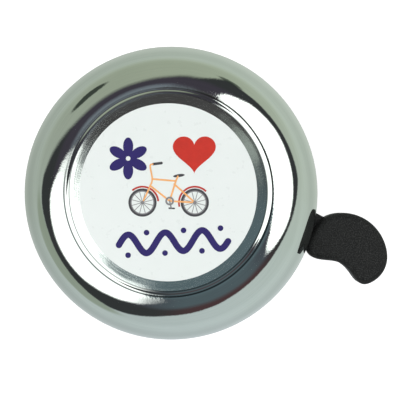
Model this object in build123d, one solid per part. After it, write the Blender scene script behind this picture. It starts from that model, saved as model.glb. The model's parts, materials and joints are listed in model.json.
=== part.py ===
from build123d import *
from math import acos, atan2, cos, degrees, hypot, pi, radians, sin, tan
import os

# Rotary bicycle bell on a handlebar clamp. Millimetres.
# Origin: centre of the handlebar bore. +X runs along the handlebar towards the thumb lever,
# +Y points away from the rider, +Z is the axis of the dome, out through its flat top.

# ---- driving dimensions ----
BORE_R = 11.15            # clamp bore, for a 22.2 mm handlebar
LINER_T = 1.0             # rubber liner in each half of the clamp
DOME_R = 30.0             # outside radius of the gong
DOME_H = 16.9             # rim to flat top
DOME_T = 0.8              # sheet thickness
BADGE_R = 17.35           # printed disc on the flat top

# ---- heights above the handlebar axis ----
FLOOR_Z = 14.8            # underside of the base floor
DECK_Z = 17.0             # top of the base floor
WALL_TOP = 24.5           # top of the base wall
PIN_LOW = 12.2            # lower end of the two gear pins
BOSS_LOW = 11.6           # lower end of the bosses that hold them
RIM_Z = 23.4              # lower edge of the dome
TOP_Z = RIM_Z + DOME_H    # flat top of the dome
PINION_Z = 21.2           # shoulder that the striker pinion turns on
BAR_Z = 25.8              # underside of the striker bar
BAR_T = 1.5
BAR_TOP = BAR_Z + BAR_T
CLIP_Z = (BAR_TOP + 0.9, BAR_TOP + 1.5)    # groove for the clip above the striker bar
RING_Z = BAR_TOP + 0.2    # underside of the loose striker rings
SHOULDER_Z = 31.5         # shoulder on the post that the dome boss screws down to

# ---- base ----
WALL_R, WALL_T = 27.5, 2.0
SLOT_FROM, SLOT_TO = -27.5, 8.0    # lever slot in the base wall, degrees
TONGUE_R = 30.0                    # shelf under the lever neck
TONGUE_FROM, TONGUE_TO = -29.0, -6.0
CLAMP_W = 18.0                     # clamp width along the handlebar
SADDLE_R = BORE_R + LINER_T
CLAMP_R = 16.2                     # outside of the clamp ring
CLAMP_GAP = 1.5                    # half of the gap between saddle and strap

# ---- clamp hinge and screw ----
HINGE_Y, KNUCKLE_R, HINGE_PIN_R = -17.4, 3.4, 1.5
KNUCKLE_HALF = 4.6                 # half of the strap knuckle's length
SCREW_Y, SCREW_R, HEAD_R, HEAD_H = 19.2, 2.0, 3.75, 2.4
EAR_R, EAR_TOP, EAR_LOW = 5.5, 7.5, -6.5
NUT_AF, NUT_H = 7.0, 3.2
SCREW_TIP = 11.5

# ---- gear train ----
MODULE = 0.7
PRESSURE = radians(25.0)
ADDENDUM, DEDENDUM = 0.8, 1.05     # in modules, stub teeth
BACKLASH = 0.08
SECTOR_TEETH, SMALL_TEETH, BIG_TEETH, STRIKER_TEETH = 36, 10, 28, 12
PIVOT_FROM_AXIS, PIVOT_ANGLE = 20.5, -17.0
SECTOR_BEHIND, SECTOR_AHEAD = 45.0, 15.0   # sector's reach each side of the mesh, degrees


def polar(radius, angle, centre=(0.0, 0.0)):
    """Point at an angle in degrees from a centre."""
    return (centre[0] + radius * cos(radians(angle)), centre[1] + radius * sin(radians(angle)))


SECTOR_TO_SMALL = MODULE * (SECTOR_TEETH + SMALL_TEETH) / 2
BIG_TO_STRIKER = MODULE * (BIG_TEETH + STRIKER_TEETH) / 2
PIVOT = polar(PIVOT_FROM_AXIS, PIVOT_ANGLE)
# The idler's place closes the triangle of dome axis, lever pivot and idler.
_cos_at_axis = (BIG_TO_STRIKER**2 + PIVOT_FROM_AXIS**2 - SECTOR_TO_SMALL**2) / (
    2 * BIG_TO_STRIKER * PIVOT_FROM_AXIS
)
IDLER_ANGLE = PIVOT_ANGLE + degrees(acos(_cos_at_axis))
IDLER = polar(BIG_TO_STRIKER, IDLER_ANGLE)
MESH_ANGLE = degrees(atan2(IDLER[1] - PIVOT[1], IDLER[0] - PIVOT[0]))

# ---- striker ----
STRIKER_ANGLE = 62.0               # how the bar stands at rest
STRIKER_PIN_AT = 19.8              # striker pin from the dome axis
RING_R, RING_BORE, RING_T = 7.0, 4.0, 2.0
STRIKER_PIN_R = 2.0

# ---- pins and post ----
PIVOT_PIN_R, IDLER_PIN_R, RUNNING = 1.5, 1.25, 0.05
POST_R, JOURNAL_R, THREAD_R = 3.0, 2.5, 2.0
POST_HEAD_AF, POST_HEAD_Z = 10.0, 12.4

# ---- thumb lever and its return spring ----
NECK_Z, LEVER_TOP, PAD_LOW = 17.8, 22.6, 13.2
HUB_R, HUB_TOP, SEAT_TOP = 4.4, 20.6, 23.4
PAD_EDGE = 1.4                     # rounding of the pad's upper edge
COIL_R, WIRE_R, COIL_TURNS, COIL_PITCH = 3.0, 0.3, 3, 0.68
COIL_START = -81.0                 # where both ends of the coil leave it, degrees
LEG = 4.8                          # length of each spring leg
PEG_R, ANCHOR_R = 0.8, 1.2         # peg on the lever, post on the base
BIG_GEAR_Z, BIG_GEAR_TOP = 21.3, 23.3
STRIKER_GEAR_TOP = 24.0
LOCK_WASHER_T = 0.6


def disc(radius, low, high, at=(0.0, 0.0)):
    """Upright cylinder between two heights."""
    shape = Cylinder(radius, high - low, align=(Align.CENTER, Align.CENTER, Align.MIN))
    return Pos(at[0], at[1], low) * shape


def ring(outer, inner, low, high, at=(0.0, 0.0)):
    """Upright tube between two heights."""
    return disc(outer, low, high, at) - disc(inner, low - 1, high + 1, at)


def prism(face, low, high):
    """Flat face raised between two heights."""
    return extrude(Pos(0, 0, low) * face, high - low)


def block(x_from, x_to, y_from, y_to, z_from, z_to):
    """Box from its limits."""
    middle = ((x_from + x_to) / 2, (y_from + y_to) / 2, (z_from + z_to) / 2)
    return Pos(*middle) * Box(x_to - x_from, y_to - y_from, z_to - z_from)


def along_x(radius, half, y=0.0, z=0.0):
    """Cylinder along the handlebar."""
    return Pos(0, y, z) * (Rot(0, 90, 0) * Cylinder(radius, 2 * half))


def hexagon(across_flats, low, high, at=(0.0, 0.0)):
    """Upright hexagonal prism."""
    corner = across_flats / 2 / cos(pi / 6)
    return prism(Pos(*at) * RegularPolygon(corner, 6), low, high)


def arc_plate(radius, angle_from, angle_to, low, high):
    """Pie slice of a disc about the dome axis."""
    middle = (angle_from + angle_to) / 2
    edges = [
        Line((0, 0), polar(radius, angle_from)),
        ThreePointArc(polar(radius, angle_from), polar(radius, middle), polar(radius, angle_to)),
        Line(polar(radius, angle_to), (0, 0)),
    ]
    return prism(make_face(edges), low, high)


def involute(angle):
    return tan(angle) - angle


def gear_face(teeth, phase):
    """Outline of a gear about the origin, with the middle of one tooth at the phase angle."""
    pitch_r = MODULE * teeth / 2
    base_r = pitch_r * cos(PRESSURE)
    tip_r = pitch_r + ADDENDUM * MODULE
    root_r = pitch_r - DEDENDUM * MODULE
    half_at_pitch = pi / (2 * teeth) - BACKLASH / (2 * pitch_r)

    def half_angle(radius):
        turn = acos(min(1.0, base_r / radius))
        return degrees(half_at_pitch + involute(PRESSURE) - involute(turn))

    start_r = max(base_r, root_r)
    flank = [start_r + (tip_r - start_r) * share for share in (0.0, 0.25, 0.6, 1.0)]
    edges = []
    pitch = 360 / teeth
    for tooth in range(teeth):
        middle = phase + tooth * pitch
        rising = [polar(r, middle - half_angle(r)) for r in flank]
        falling = [polar(r, middle + half_angle(r)) for r in reversed(flank)]
        foot = half_angle(start_r)
        root_from, root_to = polar(root_r, middle + foot), polar(root_r, middle + pitch - foot)
        edges.append(Spline(*rising))
        edges.append(ThreePointArc(rising[-1], polar(tip_r, middle), falling[0]))
        edges.append(Spline(*falling))
        if start_r > root_r:
            edges.append(Line(falling[-1], root_from))
            edges.append(Line(root_to, polar(start_r, middle + pitch - foot)))
        edges.append(ThreePointArc(root_from, polar(root_r, middle + pitch / 2), root_to))
    return make_face(edges)


def dome_section(inset):
    """Half section of the gong's outside, moved inwards by inset, down to the rim."""
    bead_r, bend_r, slope, wall_z = 19.3, 0.9, 34, 26.2
    shoulder_r = bead_r + 2 * bend_r * sin(radians(slope))
    shoulder_z = TOP_Z - 2 * bend_r * (1 - cos(radians(slope)))
    top = Line((0, TOP_Z - inset), (bead_r, TOP_Z - inset))
    bead = CenterArc((bead_r, TOP_Z - bend_r), bend_r - inset, 90 - slope, slope)
    cove = CenterArc((shoulder_r, shoulder_z + bend_r), bend_r + inset, 270 - slope, slope)
    shoulder = EllipticalCenterArc(
        (shoulder_r, wall_z), DOME_R - shoulder_r - inset, shoulder_z - wall_z - inset, 0,
        arc_size=90
    )
    wall = Line((DOME_R - inset, wall_z), (DOME_R - inset, RIM_Z))
    return [top, bead, cove, shoulder, wall]


def dome():
    """Pressed steel gong with a flat top, raised by a shallow step, and a full shoulder."""
    closing = [
        Line((DOME_R, RIM_Z), (DOME_R - DOME_T, RIM_Z)),
        Line((0, TOP_Z - DOME_T), (0, TOP_Z)),
    ]
    section = make_face([*dome_section(0), *dome_section(DOME_T), *closing])
    shell = revolve(Plane.XZ * section, Axis.Z)
    rim = shell.edges().filter_by(lambda e: abs(e.center().Z - RIM_Z) < 0.01)
    shell = fillet(rim, 0.25)
    return shell - disc(POST_R, TOP_Z - 2, TOP_Z + 1)


def dome_boss():
    """Round boss staked into the dome's centre hole and tapped for the post."""
    body = disc(4.5, SHOULDER_Z, TOP_Z - DOME_T) + disc(6.0, TOP_Z - DOME_T - 1, TOP_Z - DOME_T)
    body += disc(POST_R, TOP_Z - DOME_T, TOP_Z)
    return body - disc(THREAD_R, SHOULDER_Z - 1, TOP_Z - 2.2)


def badge_disc():
    """Printed vinyl disc on the flat top."""
    return disc(BADGE_R, TOP_Z, TOP_Z + 0.2)


def ear_face(grow=0.0):
    """Outline of a clamp ear around the screw, seen from above."""
    shape = Pos(0, SCREW_Y) * Circle(EAR_R + grow)
    return shape + Pos(0, (SCREW_Y + 12.8) / 2) * Rectangle(2 * (EAR_R + grow), SCREW_Y - 12.8)


def base_housing():
    """Moulded base: floor, wall with the lever slot, shelf, bosses, saddle, hinge ears, nut ear."""
    half = CLAMP_W / 2
    inner_r = WALL_R - WALL_T
    body = disc(WALL_R, FLOOR_Z, DECK_Z) + ring(WALL_R, inner_r, DECK_Z, WALL_TOP)
    body -= arc_plate(WALL_R + 5, SLOT_FROM, SLOT_TO, DECK_Z, WALL_TOP + 1)
    body += arc_plate(TONGUE_R, TONGUE_FROM, TONGUE_TO, FLOOR_Z, DECK_Z)
    # saddle over the handlebar
    saddle = along_x(CLAMP_R, half) & block(-half, half, -20, 20, CLAMP_GAP, DECK_Z)
    saddle += block(-half, half, -CLAMP_R, CLAMP_R, 8.0, FLOOR_Z)
    body += saddle
    # hinge ears, each side of the strap knuckle
    for side in (-1, 1):
        x_in, x_out = side * (KNUCKLE_HALF + 0.3), side * half
        ear_x = (min(x_in, x_out), max(x_in, x_out))
        lobe = along_x(KNUCKLE_R, half, HINGE_Y) & block(*ear_x, -25, 0, -5, 5)
        body += lobe + block(*ear_x, HINGE_Y - KNUCKLE_R, -13.5, 0, 8.5)
    # ear for the screw and its captive nut, with a gusset each side
    body += prism(ear_face(), CLAMP_GAP, EAR_TOP)
    for side in (-1, 1):
        x_at = side * (EAR_R - 0.7)
        body += block(x_at - 0.7, x_at + 0.7, 12.8, SCREW_Y, EAR_TOP, FLOOR_Z)
    # bosses for the pivot pin, the idler pin and the spring's fixed leg
    body += disc(3.3, BOSS_LOW, FLOOR_Z, PIVOT)
    body += disc(2.8, BOSS_LOW, FLOOR_Z, IDLER)
    body += disc(ANCHOR_R, DECK_Z, 24.0, spring_anchor())
    # stiffening ribs under the floor
    for angle in (25, 60, 120, 155, 205, 240, 300, 335):
        rib = Rot(0, 0, angle) * block(17.5, WALL_R - 1, -0.6, 0.6, FLOOR_Z - 1.6, FLOOR_Z)
        body += rib
    # room for the liner, the strap knuckle, the post head, the nut and the screw
    body -= along_x(SADDLE_R, half + 1)
    body -= along_x(KNUCKLE_R + 0.4, KNUCKLE_HALF + 0.3, HINGE_Y)
    body -= hexagon(POST_HEAD_AF, 0, FLOOR_Z)
    body -= disc(POST_R, FLOOR_Z - 1, DECK_Z + 1)
    body -= hexagon(NUT_AF, EAR_TOP - NUT_H, EAR_TOP + 1, (0, SCREW_Y))
    body -= disc(SCREW_R + 0.25, 0, EAR_TOP, (0, SCREW_Y))
    body -= along_x(HINGE_PIN_R, half + 1, HINGE_Y)
    body -= disc(PIVOT_PIN_R, PIN_LOW, DECK_Z + 1, PIVOT)
    body -= disc(IDLER_PIN_R, PIN_LOW, DECK_Z + 1, IDLER)
    return body


def centre_post():
    """Shouldered steel post: hex head in the saddle, plain journal, threaded tip for the dome."""
    post = hexagon(POST_HEAD_AF, POST_HEAD_Z, FLOOR_Z) + disc(POST_R, FLOOR_Z, PINION_Z)
    post += disc(JOURNAL_R, PINION_Z, SHOULDER_Z) + disc(THREAD_R, SHOULDER_Z, TOP_Z - 3)
    return post - ring(JOURNAL_R + 1, JOURNAL_R - 0.5, *CLIP_Z)


def post_washer():
    return ring(6.0, POST_R, DECK_Z, DECK_Z + 0.8)


def post_nut():
    low = DECK_Z + 0.8
    return hexagon(10.0, low, low + 3.0) - disc(POST_R, low - 1, low + 4)


def pad_face():
    """Comma-shaped thumb pad seen from above: a full outer side, a hollow thumb side, a rounded tip."""
    outer_side = [(31.9, -5.0), (36.0, -4.05), (40.7, -5.6), (44.2, -9.9), (44.8, -14.3)]
    tip = [(42.5, -18.0), (39.6, -18.9), (37.4, -16.6)]
    thumb_side = [(34.5, -14.3), (31.8, -13.9), (29.0, -13.1), (27.95, -11.0)]
    edge = Spline(*outer_side, *tip, *thumb_side)
    return make_face([edge, ThreePointArc((27.95, -11.0), (29.4, -7.7), (31.9, -5.0))])


def neck_face():
    """The arm from the pivot hub, out through the slot to the pad."""
    corners = [polar(4.2, 70, PIVOT), (29.4, -3.7), (32.6, -5.4), (31.0, -12.0), (27.9, -11.2)]
    return make_face(Polyline(*corners, polar(4.2, 260, PIVOT), close=True))


def thumb_lever():
    """One moulding: toothed sector, hub, arm and thumb pad."""
    wedge_r = 20.0
    gear = Pos(*PIVOT) * gear_face(SECTOR_TEETH, MESH_ANGLE)
    behind, ahead = MESH_ANGLE - SECTOR_BEHIND, MESH_ANGLE + SECTOR_AHEAD
    wedge = make_face(
        Polyline(PIVOT, polar(wedge_r, behind, PIVOT), polar(wedge_r, ahead, PIVOT), close=True)
    )
    sector = prism(gear & wedge, NECK_Z, HUB_TOP)
    hub = disc(HUB_R, DECK_Z + 0.4, HUB_TOP, PIVOT)
    spring_seat = disc(2.3, HUB_TOP, SEAT_TOP, PIVOT)
    neck = prism(neck_face(), NECK_Z, HUB_TOP)
    pad = prism(pad_face(), NECK_Z, LEVER_TOP)
    skirt = prism(pad_face() - Pos(*PIVOT) * Circle(12.4), PAD_LOW, NECK_Z)
    pad += skirt
    upper = pad.edges().filter_by(lambda e: abs(e.center().Z - LEVER_TOP) < 0.01)
    pad = fillet(upper, PAD_EDGE)
    lower = pad.edges().filter_by(lambda e: abs(e.center().Z - PAD_LOW) < 0.01)
    pad = fillet(lower, 0.6)
    peg = disc(PEG_R, HUB_TOP, 22.4, spring_peg())
    foot = disc(1.8, NECK_Z, HUB_TOP, spring_peg())
    lever = sector + hub + spring_seat + neck + pad + foot + peg
    return lever - disc(PIVOT_PIN_R + RUNNING, 10, 26, PIVOT)


def lever_pivot_pin():
    return disc(PIVOT_PIN_R, PIN_LOW, 24.6, PIVOT)


def lever_lock_washer():
    low = SEAT_TOP + 0.3
    return ring(3.2, PIVOT_PIN_R, low, low + LOCK_WASHER_T, PIVOT)


def beside_leg(side, along, gap):
    """Point outside a spring leg: side 1 for the lever's leg, side -1 for the base's leg."""
    out = COIL_R + WIRE_R + gap
    turn = degrees(atan2(along, out))
    return polar(hypot(out, along), COIL_START + side * turn, PIVOT)


def spring_peg():
    """Where the peg on the lever pushes its leg of the return spring."""
    return beside_leg(1, 3.6, PEG_R + 0.03)


def spring_anchor():
    """Where the other leg of the return spring bears on the base."""
    return beside_leg(-1, 3.9, ANCHOR_R + 0.03)


def return_spring():
    """Torsion spring round the hub; pressing the lever winds it tighter."""
    low = HUB_TOP + 0.35
    helix = Helix(COIL_PITCH, COIL_PITCH * COIL_TURNS, COIL_R, lefthand=True)
    path = Pos(*PIVOT, low) * (Rot(0, 0, COIL_START) * helix)
    section = Plane(path @ 0, z_dir=path % 0) * Circle(WIRE_R)
    spring = sweep(section, path)
    for share, way in ((0, -1), (1, 1)):
        direction = (path % share) * way
        flat = Vector(direction.X, direction.Y, 0).normalized()
        leg = Cylinder(WIRE_R, LEG, align=(Align.CENTER, Align.CENTER, Align.MIN))
        spring += Plane(path @ share, z_dir=flat) * leg
    return spring


def idler_gear():
    """Compound gear: small pinion in the sector, big gear over it driving the striker pinion."""
    small_phase = MESH_ANGLE + 180 + 180 / SMALL_TEETH
    big_phase = IDLER_ANGLE + 180
    body = prism(Pos(*IDLER) * gear_face(SMALL_TEETH, small_phase), DECK_Z + 0.4, BIG_GEAR_Z)
    body += prism(Pos(*IDLER) * gear_face(BIG_TEETH, big_phase), BIG_GEAR_Z, BIG_GEAR_TOP)
    for hole in range(5):
        body -= disc(1.5, BIG_GEAR_Z - 1, BIG_GEAR_TOP + 1, polar(5.9, hole * 72.0, IDLER))
    return body - disc(IDLER_PIN_R + RUNNING, 10, 26, IDLER)


def idler_pin():
    return disc(IDLER_PIN_R, PIN_LOW, 24.4, IDLER)


def idler_lock_washer():
    low = BIG_GEAR_TOP + 0.2
    return ring(2.7, IDLER_PIN_R, low, low + LOCK_WASHER_T, IDLER)


def striker_key(grow=0.0):
    """Double-D key that turns the bar with the pinion."""
    return Rot(0, 0, STRIKER_ANGLE) * (Circle(4.0 + grow) & Rectangle(10, 6.0 + 2 * grow))


def striker_pinion():
    phase = IDLER_ANGLE + 180 / STRIKER_TEETH
    body = prism(gear_face(STRIKER_TEETH, phase), PINION_Z + 0.1, STRIKER_GEAR_TOP)
    body += disc(5.6, STRIKER_GEAR_TOP, BAR_Z) + prism(striker_key(), BAR_Z, BAR_TOP)
    return body - disc(JOURNAL_R + RUNNING, 20, 30)


def striker_bar():
    """Steel strip that carries a loose ring near each end."""
    plan = Rectangle(2 * STRIKER_PIN_AT, 6.4) + Circle(6.4)
    for side in (-1, 1):
        plan += Pos(side * STRIKER_PIN_AT, 0) * Circle(4.0)
    plan = Rot(0, 0, STRIKER_ANGLE) * plan
    body = prism(plan - striker_key(), BAR_Z, BAR_TOP)
    for side in (-1, 1):
        body -= disc(STRIKER_PIN_R, BAR_Z - 1, BAR_TOP + 1, striker_pin(side))
    return body


def striker_pin(side):
    return polar(side * STRIKER_PIN_AT, STRIKER_ANGLE)


def striker_rivets():
    """Two headed rivets, one at each end of the bar."""
    rivets = []
    for side in (-1, 1):
        at = striker_pin(side)
        shank = disc(STRIKER_PIN_R, BAR_Z, RING_Z + RING_T + 0.3, at)
        tail = disc(3.0, BAR_Z - 0.7, BAR_Z, at)
        head_low = RING_Z + RING_T + 0.3
        head = disc(4.7, head_low, head_low + 0.9, at)
        head = fillet(head.edges().sort_by(Axis.Z)[-1], 0.5)
        rivets.append(shank + tail + head)
    return Compound(children=rivets)


def striker_ring(side):
    body = ring(RING_R, RING_BORE, RING_Z, RING_Z + RING_T, striker_pin(side))
    return fillet(body.edges().filter_by(GeomType.CIRCLE), 0.3)


def thrust_washer():
    return ring(5.0, JOURNAL_R, BAR_TOP + 0.1, BAR_TOP + 0.8)


def carrier_clip():
    """Flat open retaining clip in the post's groove."""
    groove_r, outer_r = JOURNAL_R - 0.5, 4.6
    mouth = block(0, outer_r + 1, -groove_r * 0.7, groove_r * 0.7, CLIP_Z[0] - 1, CLIP_Z[1] + 1)
    return ring(outer_r, groove_r, *CLIP_Z) - Rot(0, 0, 200) * mouth


def clamp_strap():
    """Lower half of the clamp: knuckle, half ring and the ear under the screw head."""
    half = CLAMP_W / 2
    body = along_x(CLAMP_R, half) & block(-half, half, -20, 20, -CLAMP_R, -CLAMP_GAP)
    body += prism(ear_face(), EAR_LOW, -CLAMP_GAP)
    for side in (-1, 1):
        x_from, x_to = sorted((side * KNUCKLE_HALF, side * (half + 1)))
        body -= along_x(KNUCKLE_R + 0.4, half + 1, HINGE_Y) & block(x_from, x_to, -25, 0, -9, 9)
    knuckle = along_x(KNUCKLE_R, KNUCKLE_HALF, HINGE_Y)
    knuckle += block(-KNUCKLE_HALF, KNUCKLE_HALF, HINGE_Y, -12.4, -6.0, -CLAMP_GAP)
    body += knuckle
    # two grooves round the outside
    for side in (-1, 1):
        groove = along_x(CLAMP_R + 1, 1.0) - along_x(CLAMP_R - 0.6, 2.0)
        body -= Pos(side * 3.4, 0, 0) * (groove & block(-2, 2, -11, 11, -20, -10))
    body -= along_x(SADDLE_R, half + 1)
    body -= along_x(HINGE_PIN_R + RUNNING, half + 1, HINGE_Y)
    slot = Pos(0, SCREW_Y) * SlotOverall(6.2, 2 * SCREW_R + 0.5, rotation=90)
    return body - prism(slot, EAR_LOW - 1, 0)


def hinge_pin():
    return along_x(HINGE_PIN_R, CLAMP_W / 2 - 0.2, HINGE_Y)


def clamp_screw():
    """Pan head machine screw with a cross recess, entering from below."""
    at = (0, SCREW_Y)
    head = disc(HEAD_R, EAR_LOW - HEAD_H, EAR_LOW, at)
    head = fillet(head.edges().sort_by(Axis.Z)[0], 1.1)
    body = head + disc(SCREW_R, EAR_LOW, SCREW_TIP, at)
    body = chamfer(body.edges().sort_by(Axis.Z)[-1], 0.5)
    low = EAR_LOW - HEAD_H
    for angle in (45, 135):
        arm = Rot(0, 0, angle) * block(-2.1, 2.1, -0.45, 0.45, low - 1, low + 1.4)
        body -= Pos(0, SCREW_Y, 0) * arm
    return body


def clamp_nut():
    low = EAR_TOP - NUT_H
    body = hexagon(NUT_AF - 0.1, low, EAR_TOP, (0, SCREW_Y))
    return body - disc(SCREW_R + 0.02, low - 1, EAR_TOP + 1, (0, SCREW_Y))


def liner(side):
    """Half of the rubber sleeve: side 1 lines the saddle, side -1 lines the strap."""
    half = CLAMP_W / 2
    body = along_x(SADDLE_R, half) - along_x(BORE_R, half + 1)
    low, high = sorted((side * CLAMP_GAP, side * 20.0))
    return body & block(-half, half, -20, 20, low, high)


PARTS = {
    "dome": dome(),
    "dome_boss": dome_boss(),
    "badge_disc": badge_disc(),
    "base_housing": base_housing(),
    "centre_post": centre_post(),
    "post_washer": post_washer(),
    "post_nut": post_nut(),
    "thumb_lever": thumb_lever(),
    "lever_pivot_pin": lever_pivot_pin(),
    "lever_lock_washer": lever_lock_washer(),
    "return_spring": return_spring(),
    "idler_gear": idler_gear(),
    "idler_pin": idler_pin(),
    "idler_lock_washer": idler_lock_washer(),
    "striker_pinion": striker_pinion(),
    "striker_bar": striker_bar(),
    "striker_rivets": striker_rivets(),
    "striker_ring_a": striker_ring(1),
    "striker_ring_b": striker_ring(-1),
    "thrust_washer": thrust_washer(),
    "carrier_clip": carrier_clip(),
    "clamp_strap": clamp_strap(),
    "hinge_pin": hinge_pin(),
    "clamp_screw": clamp_screw(),
    "clamp_nut": clamp_nut(),
    "saddle_liner": liner(1),
    "strap_liner": liner(-1),
}

os.makedirs("parts", exist_ok=True)
for name, shape in PARTS.items():
    export_step(shape, f"parts/{name}.step")
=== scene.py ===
import bmesh
import bpy
import json
from math import cos, pi, radians, sin
from mathutils import Matrix, Vector


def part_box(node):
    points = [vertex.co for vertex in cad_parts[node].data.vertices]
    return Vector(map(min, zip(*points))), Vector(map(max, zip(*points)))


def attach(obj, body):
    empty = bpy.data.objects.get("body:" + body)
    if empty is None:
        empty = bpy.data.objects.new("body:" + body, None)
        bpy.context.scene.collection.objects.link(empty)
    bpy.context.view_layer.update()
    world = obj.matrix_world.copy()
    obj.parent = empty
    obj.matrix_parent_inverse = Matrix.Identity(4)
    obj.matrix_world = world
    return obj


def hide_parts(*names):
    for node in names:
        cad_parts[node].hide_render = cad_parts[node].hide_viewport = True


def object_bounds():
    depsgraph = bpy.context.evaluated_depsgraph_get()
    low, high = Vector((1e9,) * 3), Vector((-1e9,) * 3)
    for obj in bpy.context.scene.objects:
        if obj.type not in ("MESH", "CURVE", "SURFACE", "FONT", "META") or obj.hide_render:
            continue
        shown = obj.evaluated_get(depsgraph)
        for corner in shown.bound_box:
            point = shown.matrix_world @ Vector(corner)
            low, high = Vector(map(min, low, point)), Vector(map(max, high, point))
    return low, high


# Rotary bicycle bell. Metres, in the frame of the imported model: handlebar bore at the origin,
# +X along the handlebar towards the thumb lever, +Z up through the flat top of the dome.

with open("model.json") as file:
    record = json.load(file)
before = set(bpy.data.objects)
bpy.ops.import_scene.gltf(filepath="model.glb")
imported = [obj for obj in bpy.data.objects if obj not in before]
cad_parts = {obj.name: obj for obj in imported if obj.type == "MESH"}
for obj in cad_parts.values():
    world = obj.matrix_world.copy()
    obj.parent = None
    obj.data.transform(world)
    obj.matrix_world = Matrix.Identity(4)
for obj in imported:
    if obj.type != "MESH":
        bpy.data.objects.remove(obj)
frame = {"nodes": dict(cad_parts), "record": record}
cad_low, cad_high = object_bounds()
nodes = frame["nodes"]
scene = bpy.context.scene
MM = 0.001

# the dome's section: outer radius, rim and top heights, sheet thickness
DOME_R, RIM_Z, TOP_Z, SHEET = 30.0 * MM, 23.4 * MM, 40.3 * MM, 0.8 * MM
# the shallow step round the flat: where it starts, its two bends and its steepest slope in
# degrees, and the height where the shoulder meets the upright wall
STEP_FROM, BEND_R, SLOPE, WALL_Z = 19.3 * MM, 0.9 * MM, 34.0, 26.2 * MM


# ---- small tools -------------------------------------------------------------------------

class Surface:
    """A Principled material with short calls for building its node tree."""

    def __init__(self, name, base, metallic=0.0, roughness=0.5):
        self.material = bpy.data.materials.new(name)
        self.material.use_nodes = True
        self.tree = self.material.node_tree
        self.shader = self.tree.nodes["Principled BSDF"]
        self.shader.inputs["Metallic"].default_value = metallic
        self.shader.inputs["Roughness"].default_value = roughness
        self.shader.inputs["Base Color"].default_value = (*base, 1)
        self.base = base
        self.place = self.tree.nodes.new("ShaderNodeTexCoord").outputs["Object"]

    def node(self, kind, **settings):
        made = self.tree.nodes.new(kind)
        for key, value in settings.items():
            setattr(made, key, value)
        return made

    def link(self, source, target):
        self.tree.links.new(source, target)

    def feed(self, target, value):
        """Links a socket, or sets a plain number."""
        if isinstance(value, (int, float)):
            target.default_value = value
        else:
            self.link(value, target)

    def math(self, operation, first, second=0.0):
        made = self.node("ShaderNodeMath", operation=operation)
        self.feed(made.inputs[0], first)
        self.feed(made.inputs[1], second)
        return made.outputs[0]

    def stretched(self, scale):
        """Object coordinates scaled per axis."""
        mapping = self.node("ShaderNodeMapping")
        mapping.inputs["Scale"].default_value = scale
        self.link(self.place, mapping.inputs["Vector"])
        return mapping.outputs["Vector"]

    def noise(self, scale, detail=3.0, vector=None, rough=0.5):
        made = self.node("ShaderNodeTexNoise")
        made.inputs["Scale"].default_value = scale
        made.inputs["Detail"].default_value = detail
        made.inputs["Roughness"].default_value = rough
        self.link(vector or self.place, made.inputs["Vector"])
        return made.outputs["Fac"]

    def remap(self, value, low, high, to_low, to_high):
        made = self.node("ShaderNodeMapRange")
        self.feed(made.inputs["Value"], value)
        for socket, number in (
            ("From Min", low), ("From Max", high), ("To Min", to_low), ("To Max", to_high)
        ):
            made.inputs[socket].default_value = number
        return made.outputs["Result"]

    def blend(self, share, first, second):
        """Colour between two colours, by a share from 0 to 1."""
        made = self.node("ShaderNodeMix", data_type="RGBA")
        self.feed(made.inputs["Factor"], share)
        for index, colour in ((6, first), (7, second)):
            if isinstance(colour, tuple):
                made.inputs[index].default_value = (*colour, 1)
            else:
                self.link(colour, made.inputs[index])
        return made.outputs[2]

    def colour(self, value):
        self.link(value, self.shader.inputs["Base Color"])

    def rough(self, value):
        self.feed(self.shader.inputs["Roughness"], value)

    def bump(self, height, distance, under=None):
        """Surface relief of a given depth, laid over an earlier one."""
        made = self.node("ShaderNodeBump")
        made.inputs["Strength"].default_value = 1.0
        made.inputs["Distance"].default_value = distance
        self.link(height, made.inputs["Height"])
        if under is not None:
            self.link(under, made.inputs["Normal"])
        self.link(made.outputs["Normal"], self.shader.inputs["Normal"])
        return made.outputs["Normal"]

    def radius(self):
        """Distance from the dome's axis, in metres, and height."""
        split = self.node("ShaderNodeSeparateXYZ")
        self.link(self.place, split.inputs[0])
        x_squared = self.math("MULTIPLY", split.outputs["X"], split.outputs["X"])
        y_squared = self.math("MULTIPLY", split.outputs["Y"], split.outputs["Y"])
        total = self.math("ADD", x_squared, y_squared)
        return self.math("SQRT", total), split.outputs["Z"]

    def towards(self, angle):
        """Distance along a level direction, in metres."""
        dot = self.node("ShaderNodeVectorMath", operation="DOT_PRODUCT")
        self.link(self.place, dot.inputs[0])
        dot.inputs[1].default_value = (cos(radians(angle)), sin(radians(angle)), 0)
        return dot.outputs["Value"]

    def band(self, value, middle, half):
        """1 at the middle of a narrow band of a value, falling to 0 at its edges."""
        off = self.math("ABSOLUTE", self.math("SUBTRACT", value, middle))
        return self.remap(off, 0.3 * half, half, 1.0, 0.0)

    def turned_noise(self, radius, height, across, along):
        """Noise drawn out round the axis, as turning and polishing leave it."""
        split = self.node("ShaderNodeSeparateXYZ")
        self.link(self.place, split.inputs[0])
        joined = self.node("ShaderNodeCombineXYZ")
        for name in ("X", "Y"):
            share = self.math("DIVIDE", split.outputs[name], radius)
            self.link(self.math("MULTIPLY", share, along), joined.inputs[name])
        depth = self.math("SUBTRACT", radius, height)
        self.link(self.math("MULTIPLY", depth, across), joined.inputs["Z"])
        return self.noise(1.0, 3.0, joined.outputs[0], 0.6)


def shade(tone, share):
    """A colour made lighter or darker."""
    return tuple(min(1.0, channel * share) for channel in tone)


# ---- materials ---------------------------------------------------------------------------

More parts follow.
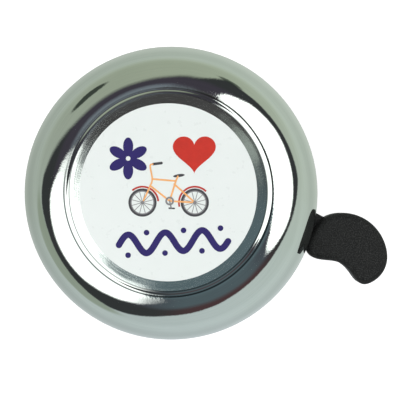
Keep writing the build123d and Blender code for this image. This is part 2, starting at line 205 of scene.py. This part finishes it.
def chrome_on_dome():
    """Bright chrome: lathe rings on the flat top, polishing streaks, and painted shade darkening the
    step's two creases.
    """
    made = Surface("chrome", (0.63, 0.68, 0.63), metallic=1.0, roughness=0.05)
    radius, height = made.radius()
    flat = made.remap(height, TOP_Z - 0.2 * MM, TOP_Z - 0.05 * MM, 0.0, 1.0)
    streaks = made.turned_noise(radius, height, 3400.0, 2.2)
    cloud = made.noise(160.0, 4.0)
    fine = made.noise(2600.0, 3.0)
    tint = made.blend(cloud, (0.60, 0.655, 0.60), (0.66, 0.70, 0.665))
    worn = made.remap(streaks, 0.30, 0.62, 0.35, 0.0)
    worn_tint = made.blend(worn, tint, (0.52, 0.575, 0.55))
    step_to = STEP_FROM + 2 * BEND_R * sin(radians(SLOPE))
    # painted shade: thin dark bands at the step's outer and inner creases, blended towards
    # near-black in the colour below
    outer_crease_painted_shade = made.band(radius, step_to + 0.12 * MM, 0.25 * MM)
    inner_crease_painted_shade = made.band(radius, STEP_FROM + 0.08 * MM, 0.20 * MM)
    painted_crease_shade = made.math("MAXIMUM", outer_crease_painted_shade, made.math("MULTIPLY", inner_crease_painted_shade, 0.8))
    # the painted crease shade is strongest on the side away from 118 degrees and fades to a quarter
    # towards it
    painted_shade_side = made.remap(made.towards(118), 11 * MM, 18 * MM, 0.96, 0.25)
    made.colour(made.blend(made.math("MULTIPLY", painted_crease_shade, painted_shade_side), worn_tint, (0.045, 0.05, 0.05)))
    smear = made.remap(cloud, 0.35, 0.75, 0.022, 0.05)
    lathe = made.math("MULTIPLY", made.remap(streaks, 0.3, 0.7, 0.012, 0.04), flat)
    made.rough(made.math("ADD", smear, lathe))
    ring_height = made.math("MULTIPLY", streaks, made.remap(flat, 0.0, 1.0, 0.45, 1.0))
    rings_bump = made.bump(ring_height, 0.0000022)
    waves = made.math("MULTIPLY", made.noise(75.0, 2.0), made.remap(flat, 0.0, 1.0, 1.0, 0.4))
    waves_bump = made.bump(waves, 0.00014, rings_bump)
    upper = made.remap(height, 36.5 * MM, 39.0 * MM, 0.15, 1.0)
    grain = made.math("MULTIPLY", upper, made.remap(flat, 0.0, 1.0, 1.0, 0.35))
    made.bump(made.math("MULTIPLY", fine, grain), 0.0000045, waves_bump)
    made.shader.inputs["Anisotropic"].default_value = 0.5
    around_axis = made.node("ShaderNodeTangent", direction_type="RADIAL", axis="Z")
    made.link(around_axis.outputs[0], made.shader.inputs["Tangent"])
    return made.material


def printed_vinyl():
    """White glossy film with faint mottling and a fine tooth."""
    made = Surface("white_vinyl", (0.73, 0.775, 0.75), roughness=0.32)
    made.colour(made.blend(made.noise(220.0, 4.0), (0.715, 0.765, 0.738), (0.745, 0.79, 0.768)))
    made.rough(made.remap(made.noise(700.0, 3.0), 0.3, 0.7, 0.26, 0.40))
    made.bump(made.noise(1800.0, 3.0), 0.0000012)
    made.shader.inputs["Coat Weight"].default_value = 0.25
    made.shader.inputs["Coat Roughness"].default_value = 0.12
    return made.material


def ink(name, tone):
    """Printed ink: nearly flat colour with slight density changes."""
    made = Surface(name, tone, roughness=0.38)
    made.colour(made.blend(made.noise(900.0, 4.0), shade(tone, 0.88), shade(tone, 1.14)))
    made.rough(made.remap(made.noise(1500.0, 2.0), 0.3, 0.7, 0.32, 0.46))
    made.bump(made.noise(2500.0, 2.0), 0.000003)
    made.shader.inputs["Specular IOR Level"].default_value = 0.3
    return made.material


def moulded_black():
    """Black moulded plastic with a fine spark-eroded grain and rubbed patches."""
    tone, grain = (0.0175, 0.0185, 0.0180), 0.022 * MM
    made = Surface("black_plastic", tone, roughness=0.5)
    grain_fine = made.noise(4200.0, 3.0, None, 0.6)
    grain_wide = made.noise(900.0, 3.0)
    speckle = made.remap(grain_fine, 0.46, 0.68, 0.0, 1.0)
    dark = made.blend(speckle, shade(tone, 0.55), shade(tone, 2.1))
    rubbed = made.remap(made.noise(120.0, 3.0), 0.45, 0.75, 0.0, 0.8)
    made.colour(made.blend(rubbed, dark, shade(tone, 1.4)))
    made.rough(made.remap(grain_wide, 0.3, 0.7, 0.44, 0.62))
    first = made.bump(grain_fine, grain)
    made.bump(grain_wide, grain * 0.8, first)
    made.shader.inputs["Specular IOR Level"].default_value = 0.08
    return made.material


def soft_rubber():
    """Dull black rubber with a dusty bloom."""
    made = Surface("black_rubber", (0.03, 0.03, 0.031), roughness=0.85)
    bloom = made.remap(made.noise(350.0, 5.0), 0.4, 0.8, 0.0, 1.0)
    made.colour(made.blend(bloom, (0.026, 0.026, 0.027), (0.060, 0.059, 0.056)))
    made.rough(made.remap(made.noise(1200.0, 3.0), 0.3, 0.7, 0.78, 0.93))
    made.bump(made.noise(2600.0, 4.0), 0.00003)
    return made.material


def plated_steel():
    """Zinc-plated steel: cool grey with turned lines and faint yellow passivation."""
    made = Surface("plated_steel", (0.60, 0.61, 0.62), metallic=1.0, roughness=0.3)
    cloud = made.noise(300.0, 4.0)
    made.colour(made.blend(cloud, (0.54, 0.56, 0.59), (0.68, 0.67, 0.62)))
    lines = made.noise(1.0, 2.0, made.stretched((900.0, 900.0, 9000.0)), 0.6)
    made.rough(made.remap(lines, 0.3, 0.7, 0.20, 0.42))
    made.bump(lines, 0.000006)
    return made.material


def spring_steel():
    """Drawn wire, darker than the plated pieces."""
    made = Surface("spring_steel", (0.36, 0.36, 0.37), metallic=1.0, roughness=0.3)
    made.colour(made.blend(made.noise(800.0, 3.0), (0.28, 0.28, 0.30), (0.44, 0.43, 0.42)))
    made.rough(made.remap(made.noise(3000.0, 2.0), 0.3, 0.7, 0.22, 0.40))
    made.bump(made.noise(6000.0, 2.0), 0.000004)
    return made.material


def gear_plastic():
    """Natural acetal, slightly translucent and waxy."""
    made = Surface("gear_plastic", (0.80, 0.78, 0.71), roughness=0.38)
    made.colour(made.blend(made.noise(250.0, 3.0), (0.76, 0.74, 0.66), (0.84, 0.83, 0.77)))
    made.rough(made.remap(made.noise(1500.0, 3.0), 0.3, 0.7, 0.32, 0.48))
    made.bump(made.noise(2200.0, 3.0), 0.00001)
    made.shader.inputs["Subsurface Weight"].default_value = 0.15
    made.shader.inputs["Subsurface Scale"].default_value = 0.001
    return made.material


MATERIALS = {
    "chrome": chrome_on_dome(),
    "badge_print": printed_vinyl(),
    "black_plastic": moulded_black(),
    "plated_steel": plated_steel(),
    "spring_steel": spring_steel(),
    "gear_plastic": gear_plastic(),
    "black_rubber": soft_rubber(),
}
for entry in frame["record"]["subparts"]:
    mesh = nodes[entry["node"]].data
    mesh.materials.clear()
    mesh.materials.append(MATERIALS[entry["material_slot"]])


def add_piece(name, mesh_data, body, material):
    """Puts a finished mesh into the scene as a piece of the bell."""
    made = bpy.data.objects.new(name, mesh_data)
    scene.collection.objects.link(made)
    made.data.materials.append(material)
    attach(made, body)
    return made


# ---- the dome, turned with exact smooth walls ----------------------------------------------

def arc_points(centre, wide, tall, start, stop, count):
    """Points on an elliptical arc in the half section, angles in degrees."""
    step = (stop - start) / (count - 1)
    turns = [radians(start + step * n) for n in range(count)]
    return [(centre[0] + wide * cos(t), centre[1] + tall * sin(t)) for t in turns]


def dome_profile(inset):
    """The dome's half section from the top's middle to the rim, moved inwards by inset."""
    shoulder_r = STEP_FROM + 2 * BEND_R * sin(radians(SLOPE))
    shoulder_z = TOP_Z - 2 * BEND_R * (1 - cos(radians(SLOPE)))
    flat_steps, bend_steps, shoulder_steps = 24, 12, 72
    flat = [(STEP_FROM * n / flat_steps, TOP_Z - inset) for n in range(1, flat_steps)]
    convex, hollow = BEND_R - inset, BEND_R + inset
    bead = arc_points((STEP_FROM, TOP_Z - BEND_R), convex, convex, 90, 90 - SLOPE, bend_steps)
    cove_centre = (shoulder_r, shoulder_z + BEND_R)
    cove = arc_points(cove_centre, hollow, hollow, 270 - SLOPE, 270, bend_steps)
    wide, tall = DOME_R - shoulder_r - inset, shoulder_z - WALL_Z - inset
    shoulder = arc_points((shoulder_r, WALL_Z), wide, tall, 90, 0, shoulder_steps)
    return flat + bead + cove[1:] + shoulder[1:]


def lathe(name, profile, segments):
    """Mesh turned from a half section about the Z axis, closed on the axis at both ends."""
    shape = bmesh.new()
    first = shape.verts.new((0, 0, profile[0][1]))
    last = shape.verts.new((0, 0, profile[-1][1]))
    rows = []
    for radius, height in profile[1:-1]:
        row = []
        for n in range(segments):
            turn = 2 * pi * n / segments
            row.append(shape.verts.new((radius * cos(turn), radius * sin(turn), height)))
        rows.append(row)
    for n in range(segments):
        after = (n + 1) % segments
        shape.faces.new((first, rows[0][n], rows[0][after]))
        for upper, lower in zip(rows, rows[1:]):
            shape.faces.new((upper[n], lower[n], lower[after], upper[after]))
        shape.faces.new((last, rows[-1][after], rows[-1][n]))
    bmesh.ops.recalc_face_normals(shape, faces=shape.faces)
    for face in shape.faces:
        face.smooth = True
    made = bpy.data.meshes.new(name)
    shape.to_mesh(made)
    shape.free()
    return made


def dome_mesh():
    """Outer skin, rolled rim and inner skin as one closed turning."""
    lip, rim_steps, segments = SHEET / 2, 14, 320
    rim = arc_points((DOME_R - lip, RIM_Z + lip), lip, lip, 0, -180, rim_steps)
    inner = list(reversed(dome_profile(SHEET)))
    section = [(0, TOP_Z)] + dome_profile(0.0) + rim + inner + [(0, TOP_Z - SHEET)]
    return lathe("bell_dome", section, segments)


bell_dome = add_piece("bell_dome", dome_mesh(), "base", MATERIALS["chrome"])
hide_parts("dome")


# ---- the print on the disc -----------------------------------------------------------------

PRINT_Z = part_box("badge_disc")[1][2]
LAYER = 0.012 * MM


class Inlay:
    """Flat printed shapes of one colour, drawn in millimetres and raised to one layer."""

    def __init__(self, layer):
        self.shape = bmesh.new()
        self.low = PRINT_Z
        self.high = PRINT_Z + LAYER * layer

    def next_shape(self):
        """Lifts each shape a hair over the last, so that tops never coincide."""
        self.high += 0.0008 * MM

    def outline(self, points):
        """A filled outline."""
        self.next_shape()
        loops = []
        for height in (self.high, self.low):
            loops.append([self.shape.verts.new((x * MM, y * MM, height)) for x, y in points])
        upper, lower = loops
        self.shape.faces.new(upper)
        self.shape.faces.new(list(reversed(lower)))
        for n in range(len(points)):
            after = (n + 1) % len(points)
            self.shape.faces.new((upper[n], lower[n], lower[after], upper[after]))

    def ring(self, x, y, outer, inner, steps=48, start=0.0, sweep=360.0):
        """A ring, or a part of one with blunt ends."""
        self.next_shape()
        full = sweep == 360.0
        count = steps if full else steps + 1
        rows = []
        for n in range(count):
            turn = radians(start + sweep * n / steps)
            row = []
            for radius, height in (
                (outer, self.high), (inner, self.high), (inner, self.low), (outer, self.low)
            ):
                place = ((x + radius * cos(turn)) * MM, (y + radius * sin(turn)) * MM, height)
                row.append(self.shape.verts.new(place))
            rows.append(row)
        pairs = list(zip(rows, rows[1:]))
        if full:
            pairs.append((rows[-1], rows[0]))
        for row, after in pairs:
            for n in range(4):
                m = (n + 1) % 4
                self.shape.faces.new((row[n], after[n], after[m], row[m]))
        if not full:
            self.shape.faces.new(rows[0])
            self.shape.faces.new(list(reversed(rows[-1])))

    def dot(self, x, y, radius, steps=28, squeeze=1.0, turn=0.0):
        """A filled circle or ellipse."""
        points = []
        for n in range(steps):
            angle = 2 * pi * n / steps
            along, across = radius * cos(angle), radius * squeeze * sin(angle)
            tilt = radians(turn)
            points.append((
                x + along * cos(tilt) - across * sin(tilt),
                y + along * sin(tilt) + across * cos(tilt),
            ))
        self.outline(points)

    def stroke(self, points, width):
        """A line of one width with rounded ends."""
        left, right = [], []
        for n, (x, y) in enumerate(points):
            before, after = points[max(0, n - 1)], points[min(len(points) - 1, n + 1)]
            way = Vector((after[0] - before[0], after[1] - before[1])).normalized()
            aside, forward = way.y * width / 2, way.x * width / 2
            left.append((x - aside, y + forward))
            right.append((x + aside, y - forward))
        self.strip(left, right)
        for end in (points[0], points[-1]):
            self.dot(*end, width / 2, 16)

    def strip(self, left, right):
        """A closed band between two edges."""
        self.next_shape()
        rows = []
        for (lx, ly), (rx, ry) in zip(left, right):
            rows.append([
                self.shape.verts.new((lx * MM, ly * MM, self.high)),
                self.shape.verts.new((rx * MM, ry * MM, self.high)),
                self.shape.verts.new((rx * MM, ry * MM, self.low)),
                self.shape.verts.new((lx * MM, ly * MM, self.low)),
            ])
        for row, after in zip(rows, rows[1:]):
            for n in range(4):
                m = (n + 1) % 4
                self.shape.faces.new((row[n], after[n], after[m], row[m]))
        self.shape.faces.new(rows[0])
        self.shape.faces.new(list(reversed(rows[-1])))

    def finish(self, name, material):
        bmesh.ops.recalc_face_normals(self.shape, faces=self.shape.faces)
        data = bpy.data.meshes.new(name)
        self.shape.to_mesh(data)
        self.shape.free()
        return add_piece(name, data, "base", material)


def curve_through(points, steps):
    """Smooth line through points, Catmull-Rom."""
    ends = [points[0]] + points + [points[-1]]
    line = []
    for n in range(1, len(ends) - 2):
        a, b, c, d = (Vector(p) for p in ends[n - 1:n + 3])
        for k in range(steps):
            t = k / steps
            place = 0.5 * (
                2 * b + (c - a) * t + (2 * a - 5 * b + 4 * c - d) * t * t
                + (3 * b - a - 3 * c + d) * t * t * t
            )
            line.append((place.x, place.y))
    return line + [tuple(points[-1])]


def print_heart():
    """Plain symmetric heart."""
    art = Inlay(3)
    middle, wide, tall, steps = (5.1, 7.9), 0.262, 0.25, 72
    points = []
    for n in range(steps):
        t = 2 * pi * n / steps
        across = 16 * sin(t) ** 3
        up = 13 * cos(t) - 5 * cos(2 * t) - 2 * cos(3 * t) - cos(4 * t)
        points.append((middle[0] + across * wide, middle[1] + up * tall))
    art.outline(points)
    art.finish("print_heart", ink("ink_red", (0.49, 0.020, 0.009)))


def print_flower_and_road():
    """Dark blue ornaments: a six-petal flower, and a winding road with milestones."""
    art = Inlay(3)
    flower_x, flower_y, petal_out, petals = -7.8, 6.6, 2.35, 6
    for n in range(petals):
        turn = 90 + n * 360.0 / petals
        x = flower_x + petal_out * cos(radians(turn))
        y = flower_y + petal_out * sin(radians(turn))
        art.dot(x, y, 1.75, 30, 0.56, turn)
    art.ring(flower_x, flower_y, 1.15, 0.45, 36)
    # the road: a sine wave that climbs slightly to the right, with a milestone in each bend
    start, wave, rise, middle, climb = -9.6, 7.2, 1.9, -9.7, 0.06
    road = []
    for n in range(113):
        x = start + 0.19 * n
        road.append((x, middle + climb * x + rise * sin(2 * pi * (x - start) / wave)))
    art.stroke(road, 1.25)
    for n in range(6):
        side = 1 if n % 2 else -1
        x = start + wave * (0.25 + 0.5 * n)
        art.dot(x, middle + climb * x + side * 2.1, 0.55)
    art.finish("print_flower_road", ink("ink_blue", (0.015, 0.008, 0.100)))


# centres and radius of the pictogram's wheels, in millimetres from the disc's middle
WHEELS = ((-5.0, -2.0), (5.2, -2.0))
WHEEL_R = 2.75


def print_bicycle():
    """A plain bicycle pictogram of its own proportions."""
    bracket, seat_top, head_top, head_low = (0.3, -1.7), (1.5, 2.2), (-3.1, 2.6), (-3.5, 1.3)
    front, rear = WHEELS

    tyres = Inlay(2)
    for x, y in WHEELS:
        tyres.ring(x, y, WHEEL_R, WHEEL_R - 0.42, 64)
    tyres.dot(2.1, 3.25, 1.15, 24, 0.26, 8)
    tyres.stroke([(-2.9, 5.5), (-1.3, 5.7)], 0.52)
    tyres.stroke([(bracket[0] - 0.1, -3.1), (bracket[0] + 0.9, -3.15)], 0.3)
    tyres.finish("print_tyres", ink("ink_black", (0.045, 0.045, 0.05)))

    grey = Inlay(1)
    for x, y in WHEELS:
        grey.ring(x, y, WHEEL_R - 0.42, WHEEL_R - 0.64, 64)
        for n in range(12):
            turn = radians(15 + n * 30)
            tip = (x + (WHEEL_R - 0.5) * cos(turn), y + (WHEEL_R - 0.5) * sin(turn))
            grey.stroke([(x, y), tip], 0.12)
    grey.ring(*bracket, 0.85, 0.5, 32)
    grey.stroke([bracket, (bracket[0] + 0.3, -3.1)], 0.24)
    grey.dot(*front, 0.34)
    grey.dot(*rear, 0.34)
    grey.finish("print_spokes", ink("ink_grey", (0.20, 0.20, 0.205)))

    red = Inlay(3)
    red.ring(*front, WHEEL_R + 0.52, WHEEL_R + 0.16, 28, 5, 125)
    red.ring(*rear, WHEEL_R + 0.52, WHEEL_R + 0.16, 32, 45, 150)
    red.finish("print_mudguards", ink("ink_red_dark", (0.42, 0.035, 0.025)))

    orange = Inlay(4)
    for run in (
        [head_top, seat_top], [head_low, bracket], [seat_top, bracket], [bracket, rear],
        [(1.2, 1.6), rear], [(1.5, 2.2), (1.9, 3.1)],
    ):
        orange.stroke(run, 0.34)
    orange.stroke(curve_through([(-3.0, 5.5), (-3.5, 5.1), (-3.1, 2.6), (-3.6, 1.0), front], 8), 0.3)
    orange.finish("print_frame", ink("ink_orange", (0.80, 0.39, 0.14)))


print_heart()
print_flower_and_road()
print_bicycle()


# ---- floor, surroundings, lights, camera -----------------------------------------------------

def ease(value):
    """Smooth step from 0 to 1."""
    value = max(0.0, min(1.0, value))
    return value * value * (3 - 2 * value)


def around(azimuth, middle):
    """Signed angle from a middle direction, -180 to 180."""
    return (azimuth - middle + 180) % 360 - 180


def outline_at(line, azimuth):
    """Height of an outline of (azimuth, zenith) points at one azimuth, or None outside it."""
    azimuth = (azimuth - line[0][0]) % 360 + line[0][0]
    for (a, low), (b, high) in zip(line, line[1:]):
        if a <= azimuth <= b:
            return low + (high - low) * (azimuth - a) / (b - a)
    return None


# Outlines of what stands round the bell: azimuth from +X, angle down from straight above.
HORIZON = curve_through([
    (-93, 67), (-62, 61), (-45, 59), (-30, 62), (-15, 71), (0, 80), (11, 85), (32, 79), (56, 74),
    (64, 77), (71, 64), (80, 51), (94, 43), (115, 39), (142, 44), (154, 58), (165, 71),
    (178, 83), (198, 81), (222, 83), (238, 86), (250, 82), (267, 67)
], 6)
RIGHT_BOX_FAR = curve_through([
    (-36, 38), (-28, 50), (-15, 63), (2, 68), (17, 69), (32, 66), (48, 57), (61, 39), (69, 22),
    (75, 8)
], 6)
RIGHT_BOX_NEAR = curve_through([(-36, 42), (-32, 33), (-25, 22), (-11, 12), (6, 9), (75, 9)], 6)
LEFT_BOX_FAR = curve_through([
    (152, 8), (162, 22), (170, 36), (179, 51), (193, 61), (208, 65), (222, 62), (237, 53),
    (251, 41), (264, 24)
], 6)
LEFT_BOX_NEAR = curve_through([
    (152, 11), (158, 8.3), (165, 8.0), (174, 6.2), (186, 5.4), (196, 5.6), (206, 6.5), (216, 6.8),
    (227, 6.5), (240, 9), (252, 14), (264, 26)
], 6)


def box_share(azimuth, zenith, near, far, near_soft, far_soft, end_soft):
    """Share of a soft box seen in one direction, between its near and far outlines."""
    low, high = outline_at(near, azimuth), outline_at(far, azimuth)
    if low is None or high is None:
        return 0.0
    from_end = min((azimuth - far[0][0]) % 360, (far[-1][0] - azimuth) % 360)
    ends = ease(from_end / end_soft) if zenith > 10 else 1.0
    return ends * ease((zenith - low) / near_soft + 0.5) * ease((high - zenith) / far_soft + 0.5)


def spot(azimuth, zenith, middle, half):
    """Share of a small soft oval."""
    off = (around(azimuth, middle[0]) / half[0]) ** 2 + ((zenith - middle[1]) / half[1]) ** 2
    return ease((1.25 - off) / 0.6)


def mixed(first, second, share):
    """A tone part of the way from one to another."""
    return [a + (b - a) * share for a, b in zip(first, second)]


def room_colour(azimuth, zenith):
    """What the chrome mirrors in one direction: two soft boxes, a dim room, a pale table."""
    turn = radians(azimuth)
    # straight above: bluish towards the rider, brown-grey away, with a pale patch
    front = max(0.0, min(1.0, 0.75 - sin(radians(zenith)) * sin(turn) / sin(radians(5))))
    tone = mixed((0.082, 0.076, 0.080), (0.135, 0.185, 0.215), front)
    tone = mixed(tone, (0.72, 0.79, 0.74), 0.6 * spot(azimuth, zenith, (60, 3.5), (22, 1.2)))
    # further down: purple-black behind, blue-grey in front
    front_low = ease((50 - abs(around(azimuth, -68))) / 35)
    room = mixed((0.070, 0.060, 0.082), (0.115, 0.150, 0.175), front_low)
    tone = mixed(tone, room, ease((zenith - 8) / 12))
    dusk = (0.050, 0.052, 0.056)
    plum = ease((40 - abs(around(azimuth, -62))) / 25)
    tone = mixed(tone, mixed(dusk, (0.120, 0.055, 0.062), 0.7 * plum), ease((zenith - 38) / 16))
    haze = ease((44 - abs(around(azimuth, 124))) / 24) * ease((26 - zenith) / 11)
    tone = mixed(tone, (0.25, 0.28, 0.335), 0.85 * haze * ease((zenith - 7.5) / 3))
    # the table and the low wall behind it, greener at the back and bluer in front
    table = 0.57 + 0.11 * cos(turn + radians(55))
    table *= 1.0 - 0.14 * ease((zenith - 118) / 50)
    sky = ease((zenith - 94) / 18) * max(0.0, sin(turn))
    table *= 1.0 + 0.30 * sky
    table *= 1.0 + 0.07 * cos(radians(zenith * 7.0 + 40 * sin(turn))) * ease((zenith - 84) / 20)
    blue = 1.0 + 0.13 * cos(turn + radians(90)) + 0.12 * sky
    table_tone = (table, table * 1.09, table * blue)
    olive = 0.75 * spot(azimuth, zenith, (212, 93), (34, 13))
    table_tone = mixed(table_tone, (0.34, 0.39, 0.30), olive)
    edge = outline_at(HORIZON, azimuth) or 67
    behind = ease((58 - abs(around(azimuth, 121))) / 24)
    tone = mixed(tone, table_tone, ease((zenith - edge) / (3.5 + 12 * behind) + 0.4))
    # a slit in the low wall, and a small gap beside the right soft box
    gap = (0.045, 0.056, 0.048)
    tone = mixed(tone, gap, 0.95 * spot(azimuth, zenith, (131, 78.5), (10, 7.5)))
    tone = mixed(tone, gap, 0.8 * spot(azimuth, zenith, (63, 77), (6, 4)))
    boxes = box_share(azimuth, zenith, RIGHT_BOX_NEAR, RIGHT_BOX_FAR, 3, 5, 9)
    boxes += box_share(azimuth, zenith, LEFT_BOX_NEAR, LEFT_BOX_FAR, 2, 7, 26)
    return [value + 2.3 * boxes for value in tone]


def surroundings():
    """Sphere of room colours, seen only by reflections."""
    across, down, radius = 240, 180, 1.2
    places, tones, faces = [], [], []
    for i in range(down + 1):
        zenith = 180 * i / down
        for j in range(across):
            azimuth = 360 * j / across
            out = radius * sin(radians(zenith))
            places.append((
                out * cos(radians(azimuth)), out * sin(radians(azimuth)),
                radius * cos(radians(zenith)),
            ))
            tones.extend((*room_colour(azimuth, zenith), 1.0))
    for i in range(down):
        for j in range(across):
            after = (j + 1) % across
            corner, below = i * across, (i + 1) * across
            faces.append((corner + j, below + j, below + after, corner + after))
    data = bpy.data.meshes.new("surroundings")
    data.from_pydata(places, [], faces)
    layer = data.color_attributes.new("room", "FLOAT_COLOR", "POINT")
    layer.data.foreach_set("color", tones)
    made = bpy.data.materials.new("room_light")
    made.use_nodes = True
    tree = made.node_tree
    tree.nodes.clear()
    output = tree.nodes.new("ShaderNodeOutputMaterial")
    emit = tree.nodes.new("ShaderNodeEmission")
    glow = tree.nodes.new("ShaderNodeAttribute")
    glow.attribute_name = "room"
    tree.links.new(glow.outputs["Color"], emit.inputs["Color"])
    tree.links.new(emit.outputs[0], output.inputs["Surface"])
    made.cycles.emission_sampling = "NONE"
    data.materials.append(made)
    sphere = bpy.data.objects.new("surroundings", data)
    scene.collection.objects.link(sphere)
    sphere.visible_camera = False
    sphere.visible_diffuse = False
    sphere.visible_shadow = False
    sphere.visible_transmission = False


def area_light(name, place, size, power):
    """Large soft light aimed at the bell, kept out of the chrome's reflections."""
    data = bpy.data.lights.new(name, "AREA")
    data.shape = "RECTANGLE"
    data.size, data.size_y = size
    data.energy = power
    made = bpy.data.objects.new(name, data)
    scene.collection.objects.link(made)
    made.location = place
    made.rotation_mode = "QUATERNION"
    made.rotation_quaternion = (Vector((0, 0, 0.02)) - Vector(place)).to_track_quat("-Z", "Y")
    made.visible_camera = False
    made.visible_glossy = False


def floor():
    """Plain pale floor that the bell's lowest point touches."""
    data = bpy.data.meshes.new("floor")
    size, steps = 3.0, 24
    places, faces = [], []
    for i in range(steps + 1):
        for j in range(steps + 1):
            places.append((size * (2 * j / steps - 1), size * (2 * i / steps - 1), cad_low[2]))
    for i in range(steps):
        for j in range(steps):
            corner = i * (steps + 1) + j
            faces.append((corner, corner + 1, corner + steps + 2, corner + steps + 1))
    data.from_pydata(places, [], faces)
    made = Surface("floor_paper", (0.60, 0.60, 0.60), roughness=0.9)
    made.colour(made.blend(made.noise(14.0, 3.0), (0.59, 0.595, 0.59), (0.61, 0.61, 0.61)))
    made.shader.inputs["Specular IOR Level"].default_value = 0.0
    made.shader.inputs["Emission Color"].default_value = (1.0, 1.0, 1.0, 1)
    made.shader.inputs["Emission Strength"].default_value = 0.66
    data.materials.append(made.material)
    plane = bpy.data.objects.new("floor", data)
    scene.collection.objects.link(plane)
    plane.visible_glossy = False


def world_light():
    """Dim room light: darker at the horizon, a little grey overhead, pale only for the backdrop."""
    made = bpy.data.worlds.new("room")
    scene.world = made
    made.use_nodes = True
    tree = made.node_tree
    tree.nodes.clear()
    output = tree.nodes.new("ShaderNodeOutputWorld")
    back = tree.nodes.new("ShaderNodeBackground")
    pale = tree.nodes.new("ShaderNodeBackground")
    pale.inputs["Color"].default_value = (0.86, 0.87, 0.87, 1)
    seen = tree.nodes.new("ShaderNodeLightPath")
    choose = tree.nodes.new("ShaderNodeMixShader")
    place = tree.nodes.new("ShaderNodeTexCoord")
    split = tree.nodes.new("ShaderNodeSeparateXYZ")
    ramp = tree.nodes.new("ShaderNodeValToRGB")
    tree.links.new(place.outputs["Generated"], split.inputs[0])
    tree.links.new(split.outputs["Z"], ramp.inputs["Fac"])
    stops = ramp.color_ramp.elements
    stops[0].position, stops[0].color = 0.0, (0.30, 0.30, 0.30, 1)
    stops[1].position, stops[1].color = 1.0, (0.36, 0.36, 0.37, 1)
    tree.links.new(ramp.outputs["Color"], back.inputs["Color"])
    tree.links.new(seen.outputs["Is Camera Ray"], choose.inputs["Fac"])
    tree.links.new(back.outputs[0], choose.inputs[1])
    tree.links.new(pale.outputs[0], choose.inputs[2])
    tree.links.new(choose.outputs[0], output.inputs["Surface"])


def camera():
    """Nearly straight down from arm's length, a little to the lever's side."""
    eye, aim = Vector((0.0115, -0.0032, 0.301)), Vector((0.0059, -0.0014, 0.025))
    data = bpy.data.cameras.new("camera")
    data.lens = 120.4
    data.sensor_width = 36.0
    data.clip_start, data.clip_end = 0.01, 20.0
    made = bpy.data.objects.new("camera", data)
    scene.collection.objects.link(made)
    made.location = eye
    look = (aim - eye).normalized()
    right = look.cross(Vector((0, 1, 0))).normalized()
    up = right.cross(look)
    made.rotation_mode = "QUATERNION"
    turn = Matrix((right, up, -look)).transposed()
    made.rotation_quaternion = turn.to_quaternion()
    scene.camera = made


floor()
surroundings()
area_light("light_left", (-0.75, -0.35, 0.9), (0.9, 0.9), 5.0)
area_light("light_right", (0.85, 0.15, 0.9), (0.9, 0.9), 4.4)
area_light("light_above", (0.0, 0.1, 1.3), (1.2, 1.2), 8.0)
world_light()
camera()
scene.view_settings.view_transform = "Standard"
scene.view_settings.look = "None"
